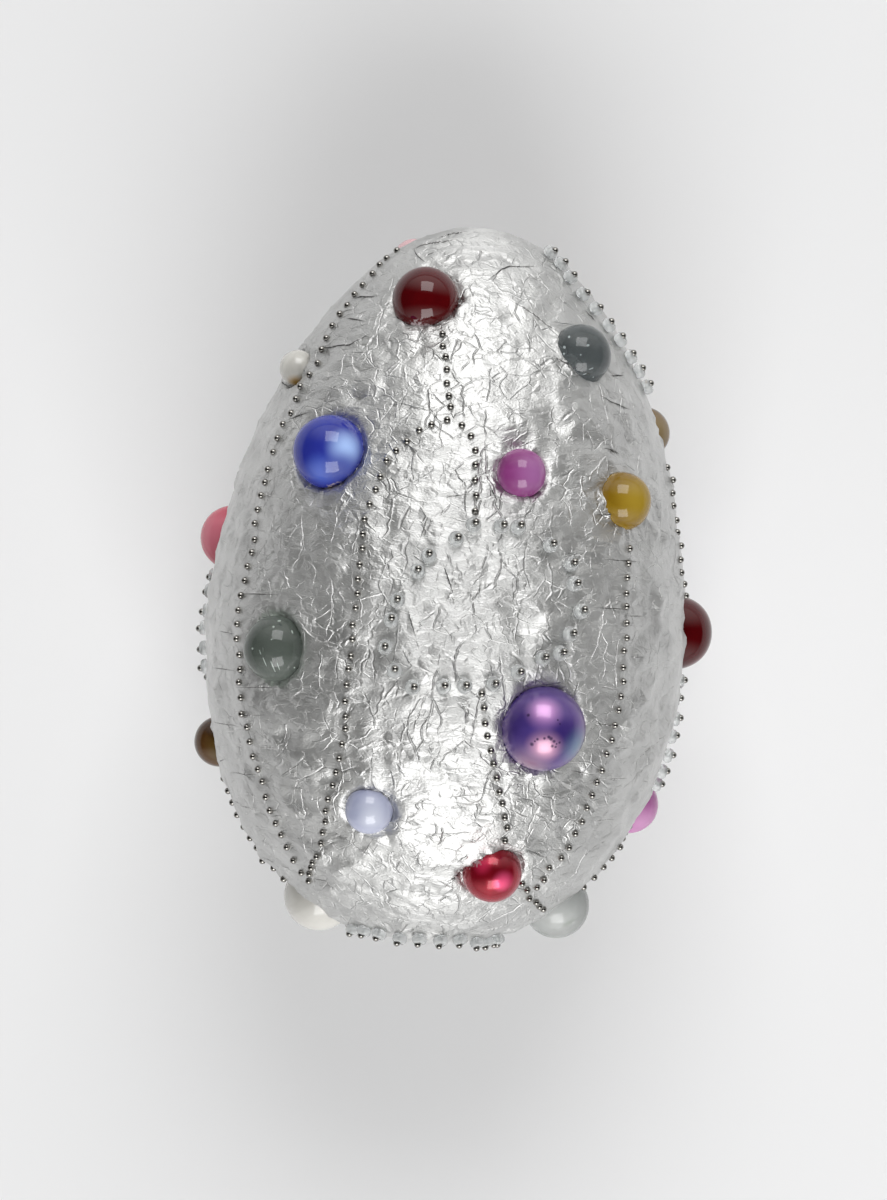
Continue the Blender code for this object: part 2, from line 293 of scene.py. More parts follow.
def spread_line(route, step):
    """Points along a route on the egg's curve, about a step apart, with each one's share of the way."""
    points, walked = [], [0.0]
    for (turn_a, reach_a), (turn_b, reach_b) in zip(route, route[1:]):
        for i in range(FOLD_SAMPLES):
            share = i / FOLD_SAMPLES
            points.append(foil_place(turn_a + (turn_b - turn_a) * share,
                                     reach_a + (reach_b - reach_a) * share)[0])
    points.append(foil_place(*route[-1])[0])
    for before, after in zip(points, points[1:]):
        walked.append(walked[-1] + (after - before).length)
    count = max(2, round(walked[-1] / step))
    spread = []
    for i in range(count + 1):
        mark = walked[-1] * i / count
        leg = min(max(bisect.bisect_left(walked, mark) - 1, 0), len(points) - 2)
        share = (mark - walked[leg]) / (walked[leg + 1] - walked[leg])
        spread.append((points[leg].lerp(points[leg + 1], share), i / count))
    return spread


def kd_tree(points):
    """A search tree over a list of points."""
    tree = KDTree(len(points))
    for i, point in enumerate(points):
        tree.insert(point, i)
    tree.balance()
    return tree


def facet_heights(points, spacing, slope, squeeze, seed):
    """Heights of flat facets that meet in sharp creases, one tilt for each facet's seed point."""
    rng = random.Random(seed)
    area = math.pi * EGG_WIDTH * EGG_LENGTH * AREA_SHARE * squeeze
    seeds, tilts = [], []
    for _ in range(int(area / spacing ** 2)):
        place, _ = foil_place(rng.uniform(0, 360), rng.uniform(-NEAR_TIP, NEAR_TIP))
        seeds.append((place.x, place.y * squeeze, place.z))
        tilts.append(rng.uniform(-1, 1))
    tree = kd_tree(seeds)
    heights = np.empty(len(points))
    for i, point in enumerate(points):
        (_, nearest, near), (_, _, far) = tree.find_n((point.x, point.y * squeeze, point.z), 2)
        heights[i] = tilts[nearest] * (far ** 2 - near ** 2) / (2 * spacing) * slope
    return heights


def around_and_along(outward, point):
    """The way round the egg and the way along it to the pointed tip, square to the way out."""
    across = point - AXIS
    around = Vector((across.z, 0, -across.x)).normalized()
    return around, outward.cross(around)


def rim_spots(centre, radius):
    """Spots round the edge where the foil meets a marble."""
    outward = outward_at(centre)
    around, along = around_and_along(outward, centre)
    height = (centre - foil_under(centre)).dot(outward)
    rim = math.sqrt(max(radius ** 2 - height ** 2, (radius * LEAST_RIM) ** 2))
    steps = [math.radians(angle) for angle in range(0, 360, RIM_TURN)]
    return [centre - outward * height + (around * math.cos(a) + along * math.sin(a)) * rim for a in steps]


def foil_under(point):
    """The spot on the egg's curve under or over a point near it."""
    across = point - AXIS
    turn = math.degrees(math.atan2(across.x, across.z))
    return foil_place(turn, max(-NEAR_TIP, min(NEAR_TIP, across.y / (EGG_LENGTH / 2))))[0]


def refine_near(foil, spots, reach):
    """Halve the foil's faces that lie near any of the spots."""
    tree = kd_tree(spots)
    mesh = foil.data
    for items in (mesh.vertices, mesh.edges):
        items.foreach_set("select", np.zeros(len(items), bool))
    mesh.polygons.foreach_set("select", [tree.find(face.center)[2] < reach for face in mesh.polygons])
    bpy.context.tool_settings.mesh_select_mode = (False, False, True)
    bpy.ops.object.mode_set(mode="EDIT")
    bpy.ops.mesh.subdivide(number_cuts=1)
    bpy.ops.object.mode_set(mode="OBJECT")


def fold_marks(points, normals, folds):
    """For each point its side distance from the nearest fold and how strong that fold is there."""
    spots, ways, shares = [], [], []
    for fold in folds:
        line = spread_line(fold, FOLD_STEP)
        for i, (spot, share) in enumerate(line):
            before, after = line[max(i - 1, 0)][0], line[min(i + 1, len(line) - 1)][0]
            spots.append(spot)
            ways.append((after - before).normalized())
            shares.append(share)
    tree = kd_tree(spots)
    sides, strengths = np.full(len(points), FOLD_CLEAR), np.zeros(len(points))
    for i, (point, normal) in enumerate(zip(points, normals)):
        spot, nearest, distance = tree.find(point)
        if distance < 3 * FOLD_REACH:
            side = (point - spot).dot(normal.cross(ways[nearest]))
            taper = math.sin(math.pi * min(max(shares[nearest], 0.02), 0.98)) ** 0.5
            past_end = abs((point - spot).dot(ways[nearest])) > FOLD_END
            sides[i] = side
            strengths[i] = 0 if past_end else taper * max(0.0, 1 - distance / (3 * FOLD_REACH))
    return sides, strengths


def press_sockets(points):
    """Press the foil round every marble: dipping beside it, under its belly, puckered round about."""
    tree = kd_tree(points)
    for index, (name, (centre, radius)) in enumerate(BALLS.items()):
        outward = outward_at(centre)
        around, along = around_and_along(outward, centre)
        rest = (foil_under(centre) - centre).dot(outward)
        rim = math.sqrt(max(radius ** 2 - rest ** 2, (radius * LEAST_RIM) ** 2))
        cover_side, cover = COVERS.get(name, (0, 0))
        dip = DIPS.get(name, DIP)
        for _, i, _ in tree.find_range(centre, radius + PRESS_REACH):
            offset = points[i] - centre
            height = offset.dot(outward)
            flat = offset - outward * height
            distance = flat.length
            if height < -radius * BELLY_DEPTH:
                continue
            angle = math.atan2(flat.dot(along), flat.dot(around))
            out = max(distance - rim, 0.0)
            waver = noise.noise(Vector((math.cos(angle) * 1.7, math.sin(angle) * 1.7, index * 3.7)))
            pucker = math.sin(PUCKER_COUNT * angle + 6 * waver)
            facing = max(0.0, math.cos(angle - math.radians(cover_side))) ** 2
            height += (cover * facing - dip * (1 + 0.4 * waver)) * math.exp(-(out / DIP_REACH) ** 2)
            height += PUCKER * (0.3 + abs(waver) * 2) * pucker * math.exp(-out / PUCKER_REACH)
            bowl = radius + BOWL_GAP
            edge = math.sqrt(max(bowl ** 2 - height ** 2, 0.0))
            if abs(distance - edge) < RIM_SNAP:
                flat *= edge / distance
            elif distance < edge:
                height = -math.sqrt(bowl ** 2 - distance ** 2)
            points[i] = centre + flat + outward * height


def make_foil():
    """One closed sheet of foil round the whole egg, crumpled, folded and pressed round every marble."""
    bpy.ops.mesh.primitive_cube_add(size=2)
    foil = bpy.context.object
    foil.name = foil.data.name = "crumpled_foil"
    bpy.ops.object.mode_set(mode="EDIT")
    for cells in FOIL_CELLS:
        bpy.ops.mesh.subdivide(number_cuts=cells - 1)
    bpy.ops.object.mode_set(mode="OBJECT")
    corners = np.empty(len(foil.data.vertices) * 3)
    foil.data.vertices.foreach_get("co", corners)
    spread = np.tan(corners.reshape(-1, 3) * math.pi / 4)
    spread /= np.linalg.norm(spread, axis=1)[:, None]
    move_points(foil, [foil_place(math.degrees(math.atan2(across, up)), float(np.clip(along, -TIP, TIP)))[0]
                       for across, along, up in spread])
    folds = FOLDS + hidden_folds()
    fold_spots = [spot for fold in folds for spot, _ in spread_line(fold, 2 * FOLD_STEP)]
    rims = [spot for ball in BALLS.values() for spot in rim_spots(*ball)]
    for spots, bands in ((rims, RIM_BANDS), (fold_spots, FOLD_BANDS)):
        for reach in bands:
            refine_near(foil, spots, reach)
    places = [vertex.co for vertex in foil.data.vertices]
    turns = [math.degrees(math.atan2(place.x - AXIS.x, place.z - AXIS.z)) for place in places]
    reaches = [max(-TIP, min(TIP, (place.y - AXIS.y) / (EGG_LENGTH / 2))) for place in places]
    points, normals = zip(*[foil_place(turn, reach) for turn, reach in zip(turns, reaches)])
    sides, strengths = fold_marks(points, normals, folds)
    heights = sum(facet_heights(points, *layer) for layer in FACET_LAYERS)
    heights += FOLD_LIFT * strengths * np.where(sides > 0, np.exp(-np.abs(sides) / FOLD_REACH), -0.3)
    points = [point + normal * float(height) for point, normal, height in zip(points, normals, heights)]
    press_sockets(points)
    move_points(foil, points)
    # fold_side and fold_strength also steer the line of shade that the foil's material paints along each fold
    for name, values in (("fold_side", sides), ("fold_strength", strengths)):
        foil.data.attributes.new(name, "FLOAT", "POINT").data.foreach_set("value", values)
    bpy.ops.object.mode_set(mode="EDIT")
    bpy.ops.mesh.select_all(action="SELECT")
    bpy.ops.mesh.normals_make_consistent(inside=False)
    bpy.ops.object.mode_set(mode="OBJECT")
    bpy.ops.object.shade_smooth_by_angle(angle=math.radians(35))
    foil.data.materials.clear()
    foil.data.materials.append(foil_material())
    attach(foil, "root")
    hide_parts("foil_egg")
    return foil


def move_points(piece, points):
    """Put a piece's vertices at new places."""
    piece.data.vertices.foreach_set("co", np.array([tuple(point) for point in points]).ravel())
    piece.data.update()


def facet_layer(material, coords, size, slope):
    """Flat facets of one size with sharp creases, as a height in metres."""
    near = add(material, "TexVoronoi", {"Vector": coords, "Scale": 1 / size}, feature="F1")
    far = add(material, "TexVoronoi", {"Vector": coords, "Scale": 1 / size}, feature="F2")
    near_square = add(material, "Math", {0: (near, "Distance"), 1: (near, "Distance")}, operation="MULTIPLY")
    far_square = add(material, "Math", {0: (far, "Distance"), 1: (far, "Distance")}, operation="MULTIPLY")
    rise = add(material, "Math", {0: (far_square, 0), 1: (near_square, 0)}, operation="SUBTRACT")
    shade = add(material, "SeparateColor", {0: (near, "Color")})
    tilt = add(material, "MapRange", {0: (shade, 0), "To Min": -1.0, "To Max": 1.0})
    height = add(material, "Math", {0: (rise, 0), 1: (tilt, 0)}, operation="MULTIPLY")
    return add(material, "Math", {0: (height, 0), 1: size * slope / 2}, operation="MULTIPLY")


def crease_net(material, coords, size, width):
    """A net of thin straight creases: from 1 on those that stand up to -1 on those that are sunk."""
    edge = add(material, "TexVoronoi", {"Vector": coords, "Scale": 1 / size}, feature="DISTANCE_TO_EDGE")
    line = add(material, "MapRange", {0: (edge, "Distance"), "From Max": width / size, "To Min": 1.0,
                                      "To Max": 0.0}, interpolation_type="SMOOTHSTEP")
    patches = add(material, "TexNoise", {"Vector": coords, "Scale": 0.8 / size, "Detail": 1.0})
    sign = add(material, "MapRange", {0: (patches, 0), "From Min": 0.38, "From Max": 0.62,
                                      "To Min": -1.0, "To Max": 1.0})
    faded = add(material, "Math", {0: (sign, 0), 1: 3.0}, operation="POWER")
    return add(material, "Math", {0: (line, 0), 1: (faded, 0)}, operation="MULTIPLY")


def foil_material():
    """Aluminium foil with a paper back, crumpled by hand and rubbed down: satin, with many thin creases.
    Painted shade darkens its colour along sunk creases and in a thin line along each fold.
    """
    material = new_material("aluminium_foil_crumpled_by_hand")
    coords = add(material, "TexCoord")
    squeezed = add(material, "Mapping", {"Vector": (coords, "Object"), "Scale": (1.0, 1.5, 1.0)})
    wander = add(material, "TexNoise", {"Vector": (squeezed, 0), "Scale": 1 / WANDER[0], "Detail": 2.0})
    warped = add(material, "VectorMath", {0: (wander, "Color"), 1: (WANDER[1],) * 3,
                                          2: (squeezed, 0)}, operation="MULTIPLY_ADD")
    total = facet_layer(material, (warped, 0), *FINE_FACETS)
    ridges = add(material, "TexNoise", {"Vector": (warped, 0), "Scale": 1 / WRINKLES[0], "Detail": 4.0,
                                        "Roughness": 0.55}, noise_type="RIDGED_MULTIFRACTAL")
    wrinkles = add(material, "Math", {0: (ridges, 0), 1: WRINKLES[1]}, operation="MULTIPLY")
    specks = add(material, "TexNoise", {"Vector": (squeezed, 0), "Scale": 1 / GRAIN[0], "Detail": 3.0})
    grain = add(material, "Math", {0: (specks, 0), 1: GRAIN[1]}, operation="MULTIPLY")
    layers = [wrinkles, grain]
    sunk = None
    for size, width, tall, squeeze in CREASE_NETS:
        stretched = add(material, "Mapping", {"Vector": (warped, 0), "Scale": squeeze})
        net = crease_net(material, (stretched, 0), size, width)
        layers.append(add(material, "Math", {0: (net, 0), 1: tall}, operation="MULTIPLY"))
        # painted shade along the sunk creases, kept as the strongest of the nets
        shade = add(material, "Math", {0: (net, 0), 1: -CREASE_SHADE}, operation="MULTIPLY", use_clamp=True)
        sunk = add(material, "Math", {0: (sunk, 0), 1: (shade, 0)}, operation="MAXIMUM") if sunk else shade
    for layer in layers:
        total = add(material, "Math", {0: (total, 0), 1: (layer, 0)}, operation="ADD")
    bump = add(material, "Bump", {"Height": (total, 0), "Distance": 1.0, "Strength": 1.0})
    cloud = add(material, "TexNoise", {"Vector": (coords, "Object"), "Scale": 1 / FOIL_CLOUD, "Detail": 3.0})
    tone = add(material, "ValToRGB", {0: (cloud, 0)})
    for stop, position, code in zip(tone.color_ramp.elements, (0.3, 0.7), FOIL_TONES):
        stop.position = position
        stop.color = linear(code)
    # Painted shade: a thin dark line along each fold, where the fold's crack lies in shade
    side = add(material, "Attribute", attribute_name="fold_side")
    strength = add(material, "Attribute", attribute_name="fold_strength")
    away = add(material, "Math", {0: (side, "Fac")}, operation="ABSOLUTE")
    line = add(material, "MapRange", {0: (away, 0), "From Max": FOLD_WIDTH, "To Min": 1.0, "To Max": 0.0},
               interpolation_type="SMOOTHSTEP")
    dark = add(material, "Math", {0: (line, 0), 1: (strength, "Fac")}, operation="MULTIPLY")
    darker = add(material, "Math", {0: (dark, 0), 1: (sunk, 0)}, operation="MAXIMUM")
    # Painted shade: the foil's tone goes toward dark grey along folds and sunk creases
    shaded = add(material, "Mix", {0: (darker, 0), 6: (tone, 0), 7: linear("3C3A38")}, data_type="RGBA")
    rough = add(material, "MapRange", {0: (cloud, 0), "From Min": 0.3, "From Max": 0.7,
                                       "To Min": FOIL_ROUGHNESS[0], "To Max": FOIL_ROUGHNESS[1]})
    rolled = add(material, "CombineXYZ", {"Y": 1.0})
    fill(material, shader_of(material), {
        "Base Color": (shaded, 2), "Metallic": 1.0, "Roughness": (rough, 0), "Anisotropic": FOIL_ROLLED,
        "Tangent": (rolled, 0), "Normal": (bump, 0)})
    return material


# Marbles and pearls

GLASS = {  # body, paler cloud inside, share of light that passes, roughness
    "oxblood_glass": ("480206", "560408", 0.0, 0.05),
    "grey_glass": ("949C9E", "A8B0B2", 0.8, 0.03),
    "cloudy_glass": ("B0B4B2", "D0D2D0", 0.6, 0.06),
    "clear_glass": ("98A29A", "A8B2AA", 0.8, 0.02),
    "blue_glass": ("283090", "323EA0", 0.0, 0.06),
    "magenta_glass": ("7C2A6C", "9A4C8C", 0.0, 0.08),
    "olive_glass": ("7E6010", "92761E", 0.0, 0.07),
    "bronze_glass": ("46290E", "664C2C", 0.0, 0.08),
    "coral_glass": ("B42E46", "C65A6C", 0.0, 0.12),
    "pink_glass": ("A85498", "BC78AC", 0.0, 0.12),
    "pale_pink_glass": ("D0A4A8", "DEBCC0", 0.0, 0.12),
    "amber_glass": ("8E5412", "B88038", 0.0, 0.08),
    "teal_glass": ("1E6460", "3E9088", 0.0, 0.08),
    "lilac_glass": ("8A72B0", "B09ED0", 0.0, 0.1),
    "green_glass": ("2A5022", "507E42", 0.0, 0.08),
    "violet_pearl": ("3A2A74", "544290", 0.0, 0.31),
    "white_pearl": ("C0BEB8", "D6D4CE", 0.0, 0.22),
    "sky_pearl": ("9096B6", "AEB2CA", 0.0, 0.22),
    "red_pearl": ("7C0618", "A01028", 0.0, 0.26),
}

# Painted light: where a marble seems to glow from inside, and the halos round some highlights, painted into
# its colour. Each is to the right and toward the pointed tip, as shares of its radius, then the painted
# glow's colour and width in radians
GLOW_SPREAD = 1.6  # a painted glow has faded out at this many widths from its middle
PAINTED_GLOWS = {
    "blue_marble": [(0.46, 0.08, "A8C4F8", 0.42), (-0.22, -0.55, "4C64C0", 0.4), (0.3, -0.45, "4C58A4", 0.4)],
    "red_pearl": [(0.38, -0.26, "FF5C8C", 0.3), (-0.34, 0.3, "D83058", 0.26)],
    "violet_marble": [(0.02, 0.42, "B484C4", 0.34), (0.02, -0.42, "C494B4", 0.34), (0.8, -0.4, "5C7C9C", 0.4),
                      (-0.3, -0.8, "8C7090", 0.4)],
    "magenta_marble": [(0.55, 0.0, "9E649A", 0.8)],
    "sky_pearl": [(0.15, -0.25, "C6CADA", 0.7)],
    "coral_marble": [(-0.6, 0.1, "CC7484", 0.7)],
    "pink_marble": [(0.4, -0.5, "C890BC", 0.6)],
    "small_pearl": [(-0.1, -0.8, "B48C40", 0.4)],
    "olive_marble": [(0.5, 0.1, "A0842C", 0.7)],
    "bronze_marble_right": [(0.5, 0.0, "8A7858", 1.0)],
    "grey_marble_low": [(0.1, -0.3, "F4F6F4", 0.7)],
    "bronze_marble_left": [(0.4, -0.2, "5E4E22", 0.7)],
}
SHEENS = {  # metal flake in the lacquer: its tint, how much it shines and its share of metal
    "violet_pearl": ("FFC4A0", 1.0, 0.2), "red_pearl": ("FFB4C8", 0.6, 0.4),
}
CRUST_FLECK = 0.0009
CRUSTS = {  # flecks of dried glue near the foil: where on the face, and how wide in radians
    "oxblood_marble_top": (-0.15, -0.86, 0.65), "red_pearl": (-0.6, 0.5, 0.6),
    "blue_marble": (0.2, -0.94, 0.5),
}
PITS = {  # dark pits in the lacquer, at shares of the marble's radius, with their half sizes in radians
    "violet_marble": [
        (-0.35, 0.33, 0.05), (0.33, 0.22, 0.03), (0.38, 0.13, 0.03), (0.02, -0.2, 0.04), (0.12, -0.17, 0.05),
        (0.17, -0.21, 0.06), (0.24, -0.27, 0.05), (0.37, -0.3, 0.04), (0.2, -0.38, 0.05), (0.28, -0.4, 0.04),
        (-0.27, -0.34, 0.06), (-0.14, -0.22, 0.04), (-0.2, -0.27, 0.03), (0.3, -0.33, 0.03),
    ],
}


def marble_material(name, slot, centre, radius):
    """Pressed glass or lacquered pearl, polished by its mould: a deep body with paler clouds inside, and
    painted glows and highlight halos where the table gives them.
    """
    deep, pale, passing, roughness = GLASS[slot]
    kind = "lacquered_pearl" if slot.endswith("pearl") else "pressed_glass"
    material = new_material(kind + "_of_" + name)
    coords = add(material, "TexCoord")
    swirl = add(material, "TexNoise", {"Vector": (coords, "Object"), "Scale": 0.7 / radius,
                                       "Detail": 3.0, "Distortion": 0.8})
    cloud = add(material, "MapRange", {0: (swirl, 0), "From Min": 0.35, "From Max": 0.7})
    colour = add(material, "Mix", {0: (cloud, 0), 6: linear(deep), 7: linear(pale)}, data_type="RGBA")
    centred = add(material, "VectorMath", {0: (coords, "Object"), 1: centre}, operation="SUBTRACT")
    way = add(material, "VectorMath", {0: (centred, 0)}, operation="NORMALIZE")
    # painted light: each glow or highlight halo is mixed into the base colour round its spot
    for right, up, glow, width in PAINTED_GLOWS.get(name, []):
        near = add(material, "VectorMath", {0: (way, 0), 1: picture_way(right, up)}, operation="DOT_PRODUCT")
        share = add(material, "MapRange", {0: (near, "Value"), "From Min": math.cos(width * GLOW_SPREAD)})
        fading = add(material, "Math", {0: (share, 0), 1: 2.0}, operation="POWER")
        colour = add(material, "Mix", {0: (fading, 0), 6: (colour, 2), 7: linear(glow)}, data_type="RGBA")
    if name in CRUSTS:
        right, up, width = CRUSTS[name]
        near = add(material, "VectorMath", {0: (way, 0), 1: picture_way(right, up)}, operation="DOT_PRODUCT")
        share = add(material, "MapRange", {0: (near, "Value"), "From Min": math.cos(width)})
        flecks = add(material, "TexNoise", {"Vector": (coords, "Object"), "Scale": 1 / CRUST_FLECK,
                                            "Detail": 3.0})
        thick = add(material, "Math", {0: (flecks, 0), 1: (share, 0)}, operation="MULTIPLY")
        crust = add(material, "MapRange", {0: (thick, 0), "From Min": 0.33, "From Max": 0.5})
        colour = add(material, "Mix", {0: (crust, 0), 6: (colour, 2), 7: linear("C4B4B6")}, data_type="RGBA")
    ripple = add(material, "TexNoise", {"Vector": (coords, "Object"), "Scale": 1.5 / radius, "Detail": 2.0})
    for right, up, size in PITS.get(name, []):
        near = add(material, "VectorMath", {0: (way, 0), 1: picture_way(right, up)}, operation="DOT_PRODUCT")
        pit = add(material, "MapRange", {0: (near, "Value"), "From Min": math.cos(size)})
        colour = add(material, "Mix", {0: (pit, 0), 6: (colour, 2), 7: linear("1C1450")}, data_type="RGBA")
    bump = add(material, "Bump", {"Height": (ripple, 0), "Distance": 0.00005, "Strength": 0.3})
    fill(material, shader_of(material), {
        "Base Color": (colour, 2), "Roughness": roughness, "IOR": 1.45, "Transmission Weight": passing,
        "Coat Weight": 0.5 if kind == "lacquered_pearl" else 0.0, "Normal": (bump, 0)})
    if slot in SHEENS:
        tint, level, metallic = SHEENS[slot]
        fill(material, shader_of(material), {"Specular Tint": linear(tint), "Specular IOR Level": level,
                                             "Metallic": metallic})
    return material


def picture_way(right, up):
    """The way out of a ball at a spot of its face, as the camera sees it, in shares of its radius."""
    depth = math.sqrt(max(1 - right ** 2 - up ** 2, 0.0))
    return Matrix.Rotation(EGG_LEAN, 3, "Z") @ Vector((right, up, depth))


# Bubbles and flaws that are sealed in the glass: places as shares of the marble's radius, to the
# right, toward the pointed tip and up, with the half sizes in millimetres
BUBBLES = {
    "grey_marble_top": [
        ((-0.5, 0.2, 0.6), (0.4, 0.4, 0.3)), ((-0.5, 0.0, 0.55), (0.3, 0.3, 0.2)),
        ((0.2, 0.25, 0.75), (0.4, 0.3, 0.2)), ((-0.35, 0.5, 0.5), (0.35, 0.35, 0.3)),
        ((0.1, -0.6, 0.55), (0.6, 0.16, 0.16)), ((0.3, -0.45, 0.65), (0.7, 0.15, 0.15)),
        ((-0.1, -0.7, 0.35), (0.22, 0.22, 0.22)), ((0.35, -0.65, 0.3), (0.18, 0.18, 0.18)),
        ((-0.35, -0.3, 0.2), (0.15, 0.15, 0.15)), ((0.0, 0.0, 0.1), (0.15, 0.15, 0.15)),
    ],
    "clear_marble": [
        ((-0.3, -0.38, 0.76), (0.14, 1.4, 0.14)), ((-0.06, -0.52, 0.72), (0.16, 1.8, 0.16)),
        ((0.1, -0.52, 0.72), (0.12, 1.2, 0.12)), ((-0.42, -0.1, 0.7), (0.1, 0.7, 0.1)),
        ((-0.05, 0.6, 0.5), (0.3, 0.3, 0.2)), ((0.45, 0.45, 0.4), (0.2, 0.5, 0.2)),
        ((-0.6, 0.0, 0.4), (0.25, 0.25, 0.2)), ((0.1, 0.75, 0.3), (0.5, 0.3, 0.2)),
        ((0.5, -0.5, 0.3), (0.22, 0.22, 0.2)), ((-0.1, 0.25, 0.6), (0.15, 0.15, 0.15)),
    ],
    "grey_marble_low": [
        ((0.3, 0.3, 0.5), (0.3, 0.3, 0.3)), ((0.5, 0.0, 0.4), (0.25, 0.25, 0.25)),
        ((-0.2, -0.3, 0.6), (0.35, 0.2, 0.2)), ((0.1, -0.55, 0.4), (0.25, 0.25, 0.25)),
        ((-0.5, -0.2, 0.3), (0.2, 0.2, 0.2)), ((0.4, -0.4, 0.2), (0.2, 0.2, 0.2)),
    ],
}


def make_bubbles(name):
    """The bubbles in one clear marble, joined in one piece."""
    centre, radius = BALLS[name]
    made = []
    for (right, up, high), sizes in BUBBLES[name]:
        turned = Matrix.Rotation(EGG_LEAN, 3, "Z")
        place = centre + turned @ Vector((right, up, high)) * radius
        bpy.ops.mesh.primitive_ico_sphere_add(subdivisions=2, radius=0.001, location=place)
        bpy.context.object.scale = sizes
        bpy.context.object.rotation_euler.z = EGG_LEAN + BUBBLE_SLANT
        made.append(bpy.context.object)
    bpy.ops.object.select_all(action="DESELECT")
    for bubble in made:
        bubble.select_set(True)
    bpy.context.view_layer.objects.active = made[0]
    bpy.ops.object.join()
    bpy.ops.object.transform_apply(location=True, rotation=True, scale=True)
    bpy.ops.object.shade_smooth()
    piece = bpy.context.object
    piece.name = piece.data.name = name + "_bubbles"
    piece.data.materials.clear()
    piece.data.materials.append(bubble_material())
    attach(piece, "root")


def bubble_material():
    """Air and white cord trapped in glass: bright specks with a soft edge, which glow with painted light so
    that they stay bright inside the glass.
    """
    material = new_material("air_trapped_in_glass_painted_glow")
    coords = add(material, "TexCoord")
    speckle = add(material, "TexNoise", {"Vector": (coords, "Object"), "Scale": 1 / 0.0004})
    tone = add(material, "Mix", {0: (speckle, 0), 6: linear("D8DEDC"), 7: linear("FAFCFC")}, data_type="RGBA")
    # painted light: the bubbles emit their own tone
    fill(material, shader_of(material), {"Base Color": (tone, 2), "Roughness": 0.1,
                                         "Emission Color": (tone, 2), "Emission Strength": 0.5})
    return material


def make_marble(name):
    """A fine ball in the place of a marble's solid, cut flat below where the egg rests on it."""
    centre, radius = BALLS[name]
    bpy.ops.mesh.primitive_uv_sphere_add(segments=64, ring_count=32, radius=radius, location=centre)
    ball = bpy.context.object
    ball.name = ball.data.name = name + "_ball"
    bpy.ops.object.transform_apply(location=True, rotation=True, scale=True)
    places = [vertex.co for vertex in ball.data.vertices]
    swells = [noise.noise((place - centre) / radius * 1.3 + centre * 90) for place in places]
    move_points(ball, [place + (place - centre) * BALL_WARP * swell for place, swell in zip(places, swells)])
    if name.startswith("foot_"):
        bpy.ops.object.mode_set(mode="EDIT")
        bpy.ops.mesh.select_all(action="SELECT")
        bpy.ops.mesh.bisect(plane_co=(0, 0, 0), plane_no=(0, 0, 1), use_fill=True, clear_inner=True,
                            threshold=1e-7)
        bpy.ops.object.mode_set(mode="OBJECT")
    bpy.ops.object.shade_smooth_by_angle(angle=math.radians(40))
    slot = SLOTS[name]
    ball.data.materials.clear()
    ball.data.materials.append(marble_material(name, slot, centre, radius))
    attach(ball, "root")
    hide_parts(name)
    if name in BUBBLES:
        make_bubbles(name)


SLOTS = {part["node"]: part["material_slot"] for part in frame["record"]["subparts"]}


# Pins and beads

RING_MIDDLE = (9, -0.05)
LEFT_RING_MIDDLE = (-114, -0.175)
RING_PLACES = [  # the beads of the ring on the front, from its middle
    (-5, 0.208), (1.4, 0.212), (5.5, 0.21), (9.5, 0.214), (14, 0.176), (20.3, 0.132), (20.7, 0.082),
    (22.9, 0.009), (20, -0.054), (17.6, -0.109), (13.3, -0.127), (8.3, -0.163), (3, -0.2), (-3.8, -0.214),
    (-8.5, -0.219), (-15.3, -0.224), (-19.9, -0.192), (-22.4, -0.129), (-21.8, -0.061), (-20.9, -0.008),
    (-16.8, 0.073), (-14.6, 0.115), (-12.3, 0.145), (-8.8, 0.169),
]


def ring_route(turn, reach):
    """The outline that a ring of beads follows round its middle, as turns and reaches."""
    outline = [(-6, 0.2), (9, 0.21), (20, 0.12), (23, 0.01), (18, -0.11), (8, -0.165),
               (-4, -0.215), (-15.5, -0.22), (-21, -0.17), (-22.5, -0.07), (-17, 0.07), (-12, 0.145)]
    return [(turn + across, reach + along) for across, along in outline + outline[:1]]


